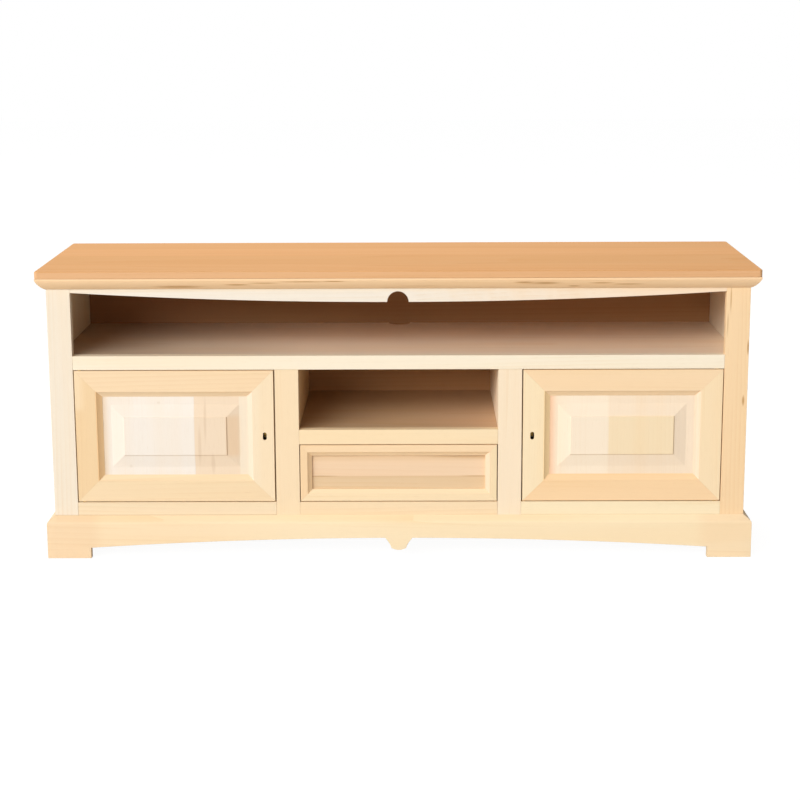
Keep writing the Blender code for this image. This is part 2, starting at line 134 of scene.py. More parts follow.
def pushFaces(piece, test, way):
    pick(piece, "FACE", test)
    bpy.ops.mesh.extrude_region_move(TRANSFORM_OT_translate={"value": way})
    putDown()


def stretch(piece, axis, factor):
    takeUp(piece)
    piece.scale[axis] = factor
    bpy.ops.object.transform_apply(location=False, rotation=False, scale=True)


def cutWith(piece, *cutters):
    for cutter in cutters:
        takeUp(piece)
        bpy.ops.object.modifier_add(type="BOOLEAN")
        modifier = piece.modifiers[-1]
        modifier.operation, modifier.solver, modifier.object = "DIFFERENCE", "EXACT", cutter
        bpy.ops.object.modifier_apply(modifier=modifier.name)


def throwAway(piece):
    bpy.data.objects.remove(piece, do_unlink=True)


def copyPiece(piece, name, move=(0, 0, 0)):
    takeUp(piece)
    bpy.ops.object.duplicate(linked=False)
    made = bpy.context.object
    made.name = made.data.name = name
    made.location = Vector(move)
    bpy.ops.object.transform_apply(location=True, rotation=False, scale=False)
    return made


def joinPieces(name, pieces):
    putDown()
    for piece in pieces:
        piece.select_set(True)
    bpy.context.view_layer.objects.active = pieces[0]
    bpy.ops.object.join()
    pieces[0].name = pieces[0].data.name = name
    return pieces[0]


def settle(piece, body, slotName, *replaced, angle=35):
    takeUp(piece, edit=True)
    bpy.ops.mesh.remove_doubles(threshold=fine)
    bpy.ops.mesh.normals_make_consistent(inside=False)
    takeUp(piece)
    bpy.ops.object.shade_smooth_by_angle(angle=math.radians(angle))
    bpy.ops.object.modifier_add(type="WEIGHTED_NORMAL")
    piece.modifiers[-1].keep_sharp = True
    bpy.ops.object.modifier_apply(modifier=piece.modifiers[-1].name)
    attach(piece, body)
    if replaced:
        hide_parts(*replaced)
    shown[piece.name] = piece


def spread(start, end, count):
    return [start + (end - start) * i / count for i in range(count + 1)]


# tests that choose edges by their two ends

def bothAt(way, at, within=fine):  # at one distance along a direction
    return lambda a, b: all(abs(way.dot(p) - at) < within for p in (a, b))


def flatIn(axis):  # not running along an axis: 0, 1 or 2
    return lambda a, b: abs(a[axis] - b[axis]) < fine


def allOf(*tests):
    return lambda a, b: all(test(a, b) for test in tests)


def around(boxes):  # the box that holds them all
    lows, highs = zip(*boxes)
    return (Vector([min(v[i] for v in lows) for i in range(3)]),
            Vector([max(v[i] for v in highs) for i in range(3)]))


# top board and the moulding under it

topBoard = {"corner": 0.008, "round": 0.0024, "under": 0.001, "steps": 6}
topMoulding = {"fillet": 0.005, "quirk": 0.001, "curve": 0.344, "curveShare": 0.99, "steps": 18,
               "soft": 0.0003, "longEdge": 0.1}


def makeTop():
    low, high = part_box("top_board")
    board = freshBox("topBoard", low, high)
    roundOff(board, lambda a, b: abs(a.z - b.z) > loose, topBoard["corner"], topBoard["steps"])
    for level, width in ((high.z, topBoard["round"]), (low.z, topBoard["under"])):
        roundOff(board, bothAt(upWay, level), width, topBoard["steps"])
    settle(board, "cabinet", "tan_wood", "top_board")


def mouldingStrip(name, low, high, outward):
    inward = -outward
    edge = max(outward.dot(low), outward.dot(high))  # outer face of the fillet
    reach = abs(outward.dot(high - low))
    drop = high.z - low.z - topMoulding["fillet"]
    low, high = low.copy(), high.copy()
    for corner in (low, high):
        if abs(outward.dot(corner) - edge) < fine:
            corner += inward * topMoulding["quirk"]
    strip = freshBox(name, low, high)
    squeeze = drop / (reach - topMoulding["quirk"])
    axis = 0 if outward.x else 1
    stretch(strip, axis, squeeze)  # squeezed square, so that the bevel comes out as a flat curve
    outer = (edge - topMoulding["quirk"]) * squeeze
    roundOff(strip, allOf(bothAt(upWay, low.z, loose), bothAt(outward, outer, loose)),
             drop * topMoulding["curveShare"], topMoulding["steps"], topMoulding["curve"])
    stretch(strip, axis, 1 / squeeze)
    level = high.z - topMoulding["fillet"]
    saw(strip, upWay * level, upWay, remove=False)
    pushFaces(strip, lambda centre, normal: normal.dot(outward) > squareOn and centre.z > level,
              outward * topMoulding["quirk"])
    return strip


def makeMouldings():
    frontLow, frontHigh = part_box("top_moulding_front")
    strip = mouldingStrip("frontMoulding", frontLow, frontHigh, -backWay)
    for sign in (-1, 1):
        corner = Vector((sign * max(abs(frontLow.x), frontHigh.x), frontLow.y, 0))
        saw(strip, corner, Vector((sign, 1, 0)))
    soften(strip)
    settle(strip, "cabinet", "warm_wood", "top_moulding_front")
    for side, sign in bothSides:
        low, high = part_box(f"top_moulding_{side}")
        strip = mouldingStrip(f"{side}Moulding", low, high, Vector((sign, 0, 0)))
        corner = Vector((sign * max(abs(low.x), abs(high.x)), low.y, 0))
        saw(strip, corner, Vector((-sign, -1, 0)))
        soften(strip)
        settle(strip, "cabinet", "warm_wood", f"top_moulding_{side}")


def soften(strip):  # takes the sharpness off the fillet's long edges
    top = max(v.co.z for v in strip.data.vertices)
    level = top - topMoulding["fillet"]
    longOnes = allOf(bothAt(upWay, level, loose), lambda a, b: (a - b).length > topMoulding["longEdge"])
    roundOff(strip, longOnes, topMoulding["soft"])


# frieze over the long bay

frieze = {"endHeight": 0.0328, "sag": 0.0215, "notch": 0.023, "curveSteps": 40, "notchSteps": 28,
          "soft": 0.0006, "slack": 0.001}


def makeFrieze():
    low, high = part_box("frieze")
    span = high.x
    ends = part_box("top_board")[0].z - frieze["endHeight"]
    half = [(x, ends - frieze["sag"] * (1 - (x / span) ** 2))
            for x in spread(-span, -frieze["notch"], frieze["curveSteps"])]
    centre = ends - frieze["sag"]
    for angle in spread(math.pi, math.pi / 2, frieze["notchSteps"])[1:]:
        half.append((frieze["notch"] * math.cos(angle), centre + frieze["notch"] * math.sin(angle)))
    outline = half + [(-x, z) for x, z in reversed(half[:-1])] + [(span, high.z), (-span, high.z)]
    board = freshOutline("friezeBoard", [(x, 0, z) for x, z in outline], (0, low.y, 0), (0, high.y, 0))
    under = allOf(flatIn(1), lambda a, b: max(a.z, b.z) < ends + frieze["slack"] and abs(a.x - b.x) > fine)
    roundOff(board, under, frieze["soft"])
    settle(board, "cabinet", "pale_wood", "frieze")


# plinth with its arches

plinth = {"foot": 0.0955, "step": 0.0237, "rise": 0.0214, "sideRise": 0.010, "archSteps": 36,
          "pendantTop": 0.060, "pendantTip": 0.033, "pendantLow": 0.0175, "pendantRound": 0.0047,
          "pendantFlare": 1.5, "pendantSteps": 14,
          "chamfer": 0.0125, "soft": 0.004, "softSteps": 4, "edge": 0.0008, "edgeBelow": 0.05}


def makePlinth():
    low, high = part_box("plinth_front")
    outer = high.x
    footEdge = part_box("plinth_right")[1].x - plinth["foot"]
    neck = plinth["pendantTop"] / 2

    def arch(x):
        return plinth["step"] + plinth["rise"] * (1 - (x / footEdge) ** 2)

    half = [(-outer, 0.0), (-footEdge, 0.0)]
    half += [(x, arch(x)) for x in spread(-footEdge, -neck, plinth["archSteps"])]
    pendantFoot = plinth["pendantLow"] + plinth["pendantRound"]
    for share in spread(0, 1, plinth["pendantSteps"])[1:]:
        flare = (plinth["pendantTop"] - plinth["pendantTip"]) * (1 - share) ** plinth["pendantFlare"]
        half.append((-(plinth["pendantTip"] + flare) / 2, arch(neck) + (pendantFoot - arch(neck)) * share))
    for share in spread(1, 0, plinth["pendantSteps"])[1:]:
        half.append((-plinth["pendantTip"] / 2 * share, plinth["pendantLow"] + plinth["pendantRound"] * share ** 2))
    outline = half + [(-x, z) for x, z in reversed(half[:-1])] + [(outer, high.z), (-outer, high.z)]
    board = freshOutline("plinthFront", [(x, 0, z) for x, z in outline], (0, low.y, 0), (0, high.y, 0))
    mitres = [(Vector((sign * outer, low.y, 0)), Vector((sign, 1, 0))) for sign in (-1, 1)]
    finishPlinth(board, -low.y, -backWay, mitres, high)
    settle(board, "cabinet", "warm_wood", "plinth_front")
    for side, sign in bothSides:
        low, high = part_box(f"plinth_{side}")
        middle, gapHalf = (low.y + high.y) / 2, (high.y - low.y) / 2 - plinth["foot"]
        curve = [(y, plinth["step"] + plinth["sideRise"] * (1 - (y / gapHalf) ** 2))
                 for y in spread(-gapHalf, gapHalf, plinth["archSteps"])]
        outline = [(low.y, 0.0), (middle - gapHalf, 0.0), *((middle + y, z) for y, z in curve),
                   (middle + gapHalf, 0.0), (high.y, 0.0), (high.y, high.z), (low.y, high.z)]
        outerX, innerX = (low.x, high.x) if sign < 0 else (high.x, low.x)
        board = freshOutline(f"{side}Plinth", [(0, y, z) for y, z in outline], (outerX, 0, 0), (innerX, 0, 0))
        mitres = [(Vector((outerX, low.y, 0)), Vector((-sign, -1, 0)))]
        finishPlinth(board, outerX * sign, Vector((sign, 0, 0)), mitres, high)
        settle(board, "cabinet", "warm_wood", f"plinth_{side}")


def finishPlinth(board, reach, outward, mitres, high):  # sloped top edge, soft arrises, mitred ends
    slopeFoot = outward * reach + upWay * (high.z - plinth["chamfer"])
    depths = [abs(outward.dot(v.co)) for v in board.data.vertices]
    slope = (outward * plinth["chamfer"] + upWay * (max(depths) - min(depths))).normalized()
    saw(board, slopeFoot, slope)
    onFace = bothAt(outward, reach, loose)
    roundOff(board, allOf(onFace, bothAt(upWay, slopeFoot.z, loose)), plinth["soft"], plinth["softSteps"])
    roundOff(board, allOf(onFace, lambda a, b: max(a.z, b.z) < plinth["edgeBelow"]), plinth["edge"])
    for point, normal in mitres:
        saw(board, point, normal)


# panelled frames of the doors and the drawer

anyFrame = {"groove": 0.0056, "tongue": 0.007, "steps": 8, "hollow": 0.2, "ease": 0.0008, "easeSteps": 3,
            "mitreGap": 0.00006}
doorFrame = {**anyFrame, "flat": 0.0465, "slope": 0.012, "drop": 0.0087, "sink": 0.009}
drawerFrame = {**anyFrame, "flat": 0.0155, "slope": 0.0095, "drop": 0.0075, "sink": 0.0115}


def frameMember(name, corner, along, inward, length, depth, sizes):
    inner = sizes["flat"] + sizes["slope"]
    far = corner + along * length + inward * inner + backWay * depth
    piece = freshBox(name, [min(a, b) for a, b in zip(corner, far)], [max(a, b) for a, b in zip(corner, far)])
    grooveEnd = sizes["sink"] + sizes["groove"]
    for mark in (sizes["sink"], grooveEnd):
        saw(piece, corner + backWay * mark, backWay, remove=False)
    pushFaces(piece, lambda centre, normal: normal.dot(inward) > squareOn
              and sizes["sink"] < backWay.dot(centre - corner) < grooveEnd, inward * -sizes["tongue"])
    squeeze = sizes["drop"] / sizes["slope"]
    axis = 0 if inward.x else 2
    stretch(piece, axis, squeeze)
    innerAt = inward.dot(corner + inward * inner) * squeeze
    onFront = bothAt(backWay, corner.y, loose)
    roundOff(piece, allOf(onFront, bothAt(inward, innerAt, loose)), sizes["drop"], sizes["steps"], sizes["hollow"])
    stretch(piece, axis, 1 / squeeze)
    outerAt = inward.dot(corner)
    roundOff(piece, allOf(onFront, bothAt(inward, outerAt, loose)), sizes["ease"], sizes["easeSteps"])
    saw(piece, corner + along * sizes["mitreGap"], inward - along)
    saw(piece, corner + along * (length - sizes["mitreGap"]), inward + along)
    return piece


def frameOfFour(names, low, high, depth, sizes):
    width, height = high.x - low.x, high.z - low.z
    farRight, farTop = Vector((high.x, low.y, low.z)), Vector((low.x, low.y, high.z))
    runs = [(low, upWay, rightWay, height), (farRight, upWay, -rightWay, height),
            (low, rightWay, upWay, width), (farTop, rightWay, -upWay, width)]
    return [frameMember(name, corner, along, inward, length, depth, sizes)
            for name, (corner, along, inward, length) in zip(names, runs)]


doorPanel = {"edge": 0.005, "strip": 0.0175, "bevel": 0.027, "step": 0.0015, "soft": 0.0004, "play": 0.0003,
             "smoothAngle": 6}
keyhole = {"width": 0.0084, "height": 0.0170, "inset": 0.0203, "steps": 24, "rim": 0.0004, "rimSteps": 3,
           "rimReach": (0.0050, 0.010), "ahead": 0.004, "intoCase": 0.0074}
keyBush = {"wall": 0.0006, "sink": 0.0026, "play": 0.0002, "overrun": 0.002, "softShare": 0.3}
lockCase = {"soft": 0.0012, "softSteps": 3, "play": 0.0003, "rim": 0.0022, "dish": 0.0006,
            "pocketOverrun": 0.004, "screwInset": (0.0055, 0.0075), "screwSink": 0.0008, "smoothAngle": 30}
lockBolt = {"soft": 0.0007, "softSteps": 3}
screwHead = {"radius": 0.0026, "root": -0.0012, "rise": 0.0009, "sides": 32, "domeFrom": 0.0005, "domeShare": 0.3,
             "domeSteps": 4, "slotHalf": 0.0004, "slotFrom": 0.0002, "slotTo": 0.002, "turn": 63}
pin = {"radius": 0.0025, "play": 0.0003, "soft": 0.0004, "collar": 0.0052, "collarFrom": 0.0003,
       "collarTo": 0.0016, "collarSoft": 0.0003}


def ovalOutline(x, z, width, height, steps):
    points = []
    for top in (1, -1):
        for angle in spread(0, math.pi, steps):
            rise = (height - width) / 2 + width / 2 * math.sin(angle)
            points.append((x + top * width / 2 * math.cos(angle), 0, z + top * rise))
    return points


def makePanel(name, node, body):
    low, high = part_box(node)
    plateFront = high.y - doorPanel["edge"]
    panel = freshBox(name, (low.x, plateFront, low.z), (high.x, high.y, high.z))
    pick(panel, "FACE", lambda centre, normal: -normal.y > squareOn)
    rim = doorPanel["strip"] + doorFrame["tongue"] - doorPanel["play"]
    bpy.ops.mesh.inset(thickness=rim, depth=0)
    bpy.ops.mesh.inset(thickness=doorPanel["bevel"], depth=plateFront - low.y - doorPanel["step"])
    bpy.ops.mesh.inset(thickness=doorPanel["step"] / 2, depth=doorPanel["step"])
    putDown()
    front = min(v.co.y for v in panel.data.vertices)
    roundOff(panel, bothAt(backWay, front), doorPanel["soft"])
    settle(panel, body, "panel_wood", node, angle=doorPanel["smoothAngle"])


def makeDoor(side, sign):
    body = f"{side}_door"
    part = f"door_{side}"
    low, high = around(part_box(f"{part}_{n}") for n in ("hinge_stile", "lock_stile", "top_rail", "bottom_rail"))
    ends = ("hinge", "lock") if sign < 0 else ("lock", "hinge")
    names = [f"{side}Door{end.title()}Stile" for end in ends] + [f"{side}DoorBottomRail", f"{side}DoorTopRail"]
    members = dict(zip((*(f"{end}_stile" for end in ends), "bottom_rail", "top_rail"),
                       frameOfFour(names, low, high, high.y - low.y, doorFrame)))
    for end, rail in (("top", "top_rail"), ("bottom", "bottom_rail")):
        pinLow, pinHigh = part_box(f"{part}_{end}_pivot")
        centre = (pinLow + pinHigh) / 2
        foot, tip = Vector((centre.x, centre.y, pinLow.z)), Vector((centre.x, centre.y, pinHigh.z))
        play = upWay * pin["play"]
        hole = freshRod("pinHole", foot - play, tip + play, pin["radius"] + pin["play"])
        cutWith(members[rail], hole)
        cutWith(members["hinge_stile"], hole)
        throwAway(hole)
        rod = freshRod("pinRod", foot, tip, pin["radius"])
        roundOff(rod, flatIn(2), pin["soft"])
        edge, outward = (high.z, 1) if end == "top" else (low.z, -1)
        collar = freshRod("pinCollar", (centre.x, centre.y, edge + outward * pin["collarFrom"]),
                          (centre.x, centre.y, edge + outward * pin["collarTo"]), pin["collar"])
        roundOff(collar, flatIn(2), pin["collarSoft"])
        whole = joinPieces(f"{side}Door{end.title()}Pin", [rod, collar])
        settle(whole, body, "brass", f"{part}_{end}_pivot")
    caseLow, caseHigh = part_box(f"{part}_lock_case")
    boltLow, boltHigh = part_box(f"{part}_lock_bolt")
    level = (caseLow.z + caseHigh.z) / 2
    keyX = (high.x if sign < 0 else low.x) + sign * keyhole["inset"]
    hole = freshOutline("keyCut", ovalOutline(keyX, level, keyhole["width"], keyhole["height"], keyhole["steps"]),
                        (0, low.y - keyhole["ahead"], 0), (0, caseLow.y + keyhole["intoCase"], 0))
    stile = members["lock_stile"]
    cutWith(stile, hole)
    reachX, reachZ = keyhole["rimReach"]
    rim = allOf(bothAt(backWay, low.y, loose), bothAt(rightWay, keyX, reachX), bothAt(upWay, level, reachZ))
    roundOff(stile, rim, keyhole["rim"], keyhole["rimSteps"])
    for key, member in members.items():
        settle(member, body, "warm_wood", f"{part}_{key}")
    makePanel(f"{side}DoorPanel", f"{part}_panel", body)
    makeLock(side, sign, body, caseLow, caseHigh, boltLow, boltHigh, hole)
    throwAway(hole)
    makeKeyBush(side, body, keyX, level, low.y + keyBush["sink"], high.y)


def makeKeyBush(side, body, x, level, start, end):  # dark lining of the keyhole
    wide, tall, wall = keyhole["width"] - keyBush["play"], keyhole["height"] - keyBush["play"], keyBush["wall"]
    outside = ovalOutline(x, level, wide, tall, keyhole["steps"])
    inside = ovalOutline(x, level, wide - 2 * wall, tall - 2 * wall, keyhole["steps"])
    bush = freshOutline(f"{side}KeyBush", outside, (0, start, 0), (0, end, 0))
    bore = freshOutline("bushBore", inside, (0, start - keyBush["overrun"], 0), (0, end + keyBush["overrun"], 0))
    cutWith(bush, bore)
    throwAway(bore)
    roundOff(bush, bothAt(backWay, start), wall * keyBush["softShare"])
    settle(bush, body, "steel")


def makeScrew(name, place, normal):
    radius, slotHalf = screwHead["radius"], screwHead["slotHalf"]
    head = freshRod(name, upWay * screwHead["root"], upWay * screwHead["rise"], radius, screwHead["sides"])
    roundOff(head, lambda a, b: min(a.z, b.z) > screwHead["domeFrom"], radius * screwHead["domeShare"],
             screwHead["domeSteps"])
    slot = freshBox("slotCut", (-radius * 2, -slotHalf, screwHead["slotFrom"]),
                    (radius * 2, slotHalf, screwHead["slotTo"]))
    cutWith(head, slot)
    throwAway(slot)
    takeUp(head)
    facing = normal.to_track_quat("Z", "Y").to_matrix().to_4x4()
    turn = Matrix.Rotation(screwHead["turn"] * (place.x + place.z), 4, "Z")
    head.matrix_world = Matrix.Translation(place) @ facing @ turn
    bpy.ops.object.transform_apply(location=True, rotation=True, scale=True)
    return head


def makeLock(side, sign, body, low, high, boltLow, boltHigh, keyCut):
    case = freshBox(f"{side}LockCase", low, high)
    play = Vector((lockCase["play"],) * 3)
    pocketLow, pocketHigh = boltLow - play, boltHigh + play
    if sign < 0:
        pocketHigh.x = high.x + lockCase["pocketOverrun"]
    else:
        pocketLow.x = low.x - lockCase["pocketOverrun"]
    roundOff(case, lambda a, b: True, lockCase["soft"], lockCase["softSteps"])
    pick(case, "FACE", lambda centre, normal: normal.y > squareOn)
    bpy.ops.mesh.inset(thickness=lockCase["rim"], depth=0)
    bpy.ops.mesh.inset(thickness=lockCase["dish"], depth=-lockCase["dish"])  # pressed cover
    putDown()
    pocket = freshBox("boltPocket", pocketLow, pocketHigh)
    cutWith(case, pocket, keyCut)
    throwAway(pocket)
    settle(case, body, "steel", f"door_{side}_lock_case", angle=lockCase["smoothAngle"])
    screws = []
    dx, dz = lockCase["screwInset"]
    for x in (low.x + dx, high.x - dx):
        for z in (low.z + dz, high.z - dz):
            screws.append(makeScrew("caseScrew", Vector((x, high.y, z)), backWay))
    for screw in screws:  # countersunk, so that no head stands over the case
        for vertex in screw.data.vertices:
            vertex.co.y -= lockCase["screwSink"]
    settle(joinPieces(f"{side}LockScrews", screws), body, "steel", angle=lockCase["smoothAngle"])
    bolt = freshBox(f"{side}LockBolt", boltLow, boltHigh)
    roundOff(bolt, lambda a, b: True, lockBolt["soft"], lockBolt["softSteps"])
    settle(bolt, f"{side}_bolt", "brass", f"door_{side}_lock_bolt")


def makeDrawerFront():
    low, high = around(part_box(f"drawer_front_{n}") for n in ("left", "right", "bottom", "top"))
    names = ("drawerLeft", "drawerRight", "drawerBottomEdge", "drawerTopEdge")
    members = frameOfFour(names, low, high, high.y - low.y, drawerFrame)
    for member, edge in zip(members, ("left", "right", "bottom", "top")):
        settle(member, "drawer", "warm_wood", f"drawer_front_{edge}")


# strike plates on the inner stiles and the pins of the back panel

strike = {"thick": 0.0009, "tall": 0.038, "play": 0.0012, "margin": 0.0004, "soft": 0.0002, "overrun": 0.01}
backPins = {"radius": 0.0021, "root": -0.0005, "rise": 0.0007, "inset": 0.009, "pitch": 0.115, "sides": 16,
            "domeFrom": 0.0001, "domeShare": 0.8}


def makeStrike(side, sign):
    stileLow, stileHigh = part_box(f"inner_stile_{side}")
    boltLow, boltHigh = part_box(f"door_{side}_lock_bolt")
    lip = stileLow.x if sign < 0 else stileHigh.x  # outer side of the stop lip
    front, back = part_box("mid_rail")[1].y + strike["margin"], stileHigh.y - strike["margin"]
    level = (boltLow.z + boltHigh.z) / 2
    outer = lip + sign * strike["thick"]
    start, end = sorted((lip, outer))
    half, play, overrun = strike["tall"] / 2, strike["play"], strike["overrun"]
    plate = freshBox(f"{side}Strike", (start, front, level - half), (end, back, level + half))
    slotCut = freshBox("strikeSlot", (start - overrun, boltLow.y - play, boltLow.z - play),
                       (end + overrun, boltHigh.y + play, boltHigh.z + play))
    cutWith(plate, slotCut)
    throwAway(slotCut)
    roundOff(plate, bothAt(rightWay, outer), strike["soft"])
    settle(plate, "cabinet", "brass")


def makeBackPins():
    low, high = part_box("back_panel")
    head = freshRod("backPins", backWay * backPins["root"], backWay * backPins["rise"], backPins["radius"],
                    backPins["sides"])
    roundOff(head, lambda a, b: min(a.y, b.y) > backPins["domeFrom"], backPins["rise"] * backPins["domeShare"])
    inset = backPins["inset"]
    columns = round((high.x - low.x) / backPins["pitch"])
    rows = round((high.z - low.z) / backPins["pitch"])
    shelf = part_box("long_shelf")
    levels = (low.z + inset, (shelf[0].z + shelf[1].z) / 2, high.z - inset)
    start, end = low.x + inset, high.x - inset
    places = [(x, z) for x in spread(start, end, columns) for z in levels]
    places += [(x, z) for x in (start, end) for z in spread(low.z + inset, high.z - inset, rows)[1:-1]]
    heads = [copyPiece(head, "pinHead", (x, high.y, z)) for x, z in places]
    throwAway(head)
    settle(joinPieces("backPins", heads), "cabinet", "steel")


# long shelf with the half-round cable cut

longShelf = {"ease": 0.0006, "cut": 0.025, "sides": 72, "overrun": 0.01}


def makeLongShelf():
    low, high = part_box("long_shelf")
    board = freshBox("longShelf", low, high)
    start, end = (0, high.y, low.z - longShelf["overrun"]), (0, high.y, high.z + longShelf["overrun"])
    drill = freshRod("cableCut", start, end, longShelf["cut"], longShelf["sides"])
    cutWith(board, drill)
    throwAway(drill)
    roundOff(board, flatIn(2), longShelf["ease"])
    settle(board, "cabinet", "inner_wood", "long_shelf")


makeTop()
makeMouldings()
makeFrieze()
makePlinth()
print("top, frieze and plinth done")
for side, sign in bothSides:
    makeDoor(side, sign)
    makeStrike(side, sign)
makeDrawerFront()
makeLongShelf()
makeBackPins()
print("doors, drawer front and shelf done")


# finishes

class Wire:  # a socket of a material's nodes, with plain sums
    def __init__(self, tree, socket=None):
        self.tree, self.socket = tree, socket

    def node(self, kind, settings=(), links=(), out=0):
        made = self.tree.nodes.new(f"ShaderNode{kind}")
        for key, value in dict(settings).items():
            setattr(made, key, value)
        for key, value in dict(links).items():
            if isinstance(value, Wire):
                self.tree.links.new(value.socket, made.inputs[key])
            else:
                made.inputs[key].default_value = value
        return Wire(self.tree, made.outputs[out])

    def sum(self, operation, first, second):
        return self.node("Math", {"operation": operation}, {0: first, 1: second})

    def __add__(self, other):
        return self.sum("ADD", self, other)

    def __sub__(self, other):
        return self.sum("SUBTRACT", self, other)

    def __rsub__(self, other):
        return self.sum("SUBTRACT", other, self)

    def __mul__(self, other):
        return self.sum("MULTIPLY", self, other)

    __radd__, __rmul__ = __add__, __mul__

    def between(self, low, high):  # 0 below low, 1 above high, smooth in between
        return self.node("MapRange", {"interpolation_type": "SMOOTHSTEP"},
                         {"Value": self, "From Min": low, "From Max": high})

    def mix(self, first, second, mode="MIX"):  # this wire is the factor
        return self.node("Mix", {"data_type": "RGBA", "blend_type": mode}, {0: self, 6: first, 7: second}, out=2)

    def noise(self, place, scale, detail=2.0, rough=0.5):
        return self.node("TexNoise", {}, {"Vector": place.mapped(scale=scale), "Scale": 1.0,
                                          "Detail": detail, "Roughness": rough})

    def along(self, axis):  # one coordinate of a place
        return self.node("SeparateXYZ", {}, {"Vector": self}, out=axis)

    def bumped(self, strength, distance):  # this wire is the height
        return self.node("Bump", {}, {"Strength": strength, "Distance": distance, "Height": self})

    def tint(self, colour, factors):  # multiplies a colour by factors, as far as this wire says
        return self.mix(colour, (*factors, 1.0), "MULTIPLY")

    def moved(self, x, y, z):
        offset = self.node("CombineXYZ", {}, {"X": x, "Y": y, "Z": z})
        return self.node("VectorMath", {"operation": "ADD"}, {0: self, 1: offset})

    def feed(self, shader, name, wire):
        self.tree.links.new(wire.socket, shader.inputs[name])

    def mapped(self, move=(0, 0, 0), turn=(0, 0, 0), scale=(1, 1, 1)):
        return self.node("Mapping", {}, {"Vector": self, "Location": move, "Rotation": turn, "Scale": scale})


def tone(*screen):  # screen colour to shader colour, by the standard curve
    return (*(((c / 255 + 0.055) / 1.055) ** 2.4 for c in screen), 1.0)


def newMaterial(name):
    material = bpy.data.materials.new(name)
    material.use_nodes = True
    return material, material.node_tree.nodes["Principled BSDF"], Wire(material.node_tree)


grainTurn = {"X": (0, 0, 0), "Y": (0, 0, -math.pi / 2), "Z": (0, math.pi / 2, 0)}
plainWood = {"rings": 0.55, "ringTint": (0.94, 0.88, 0.79), "ringWidth": 0.009, "pith": (0.045, 0.11), "tilt": 0.014,
             "wobble": 9.0, "fibre": 0.45, "cloud": 0.6, "cloudTint": (1.0, 0.955, 0.89),
             "streak": 0.0, "streakTint": (0.62, 0.50, 0.36), "pores": 0.2, "poreTint": (0.72, 0.60, 0.46),
             "boards": None, "blend": 0.0004, "glue": 0.25, "seam": (0.0002, 0.0012), "boardStep": 1.7,
             "bands": (), "bandsTo": None, "bandsSoft": 0.0004, "knots": (),
             "rough": 0.58, "bump": 0.25, "bumpHeight": 0.0004, "sheen": 0.12}
grainNoise = {"fibre": ((7.0, 430.0, 430.0), 3.0, 0.6), "pores": ((38.0, 1500.0, 1500.0), 2.0, 0.5),
              "cloud": ((0.9, 13.0, 13.0), 2.0, 0.5), "figure": ((1.6, 31.0, 31.0), 2.0, 0.5),
              "streak": ((1.1, 44.0, 44.0), 3.0, 0.55)}  # scale along and across the grain, detail, roughness
grainShows = {"pores": (0.62, 0.74), "cloud": (0.42, 0.68), "figure": (0.40, 0.66), "streak": (0.60, 0.72),
              "knot": (0.25, 1.0)}  # where it begins to show and where it shows in full
noiseMiddle = 0.5
logCut = {"seedStep": (0.731, 0.173, 0.317), "boardShift": (0.31, 0.17), "ringShift": (0.006, 0.009),
          "alongStep": 0.37, "pithStep": (0.011, 0.007), "pithEvery": (5, 7), "crossTilt": 0.7}
ringWave = {"stretch": (0.09, 1, 1), "width": 0.314}  # width of a ring at scale 1
ringDetail = {"Detail": 2.0, "Detail Scale": 0.22, "Detail Roughness": 0.55}
knotRagged = {"cloud": 1.2, "fibre": 0.5}
woodRough = {"fibre": 0.18, "rings": 0.05}
woodRelief = {"fibre": 0.6, "rings": 0.3, "pores": 0.3}


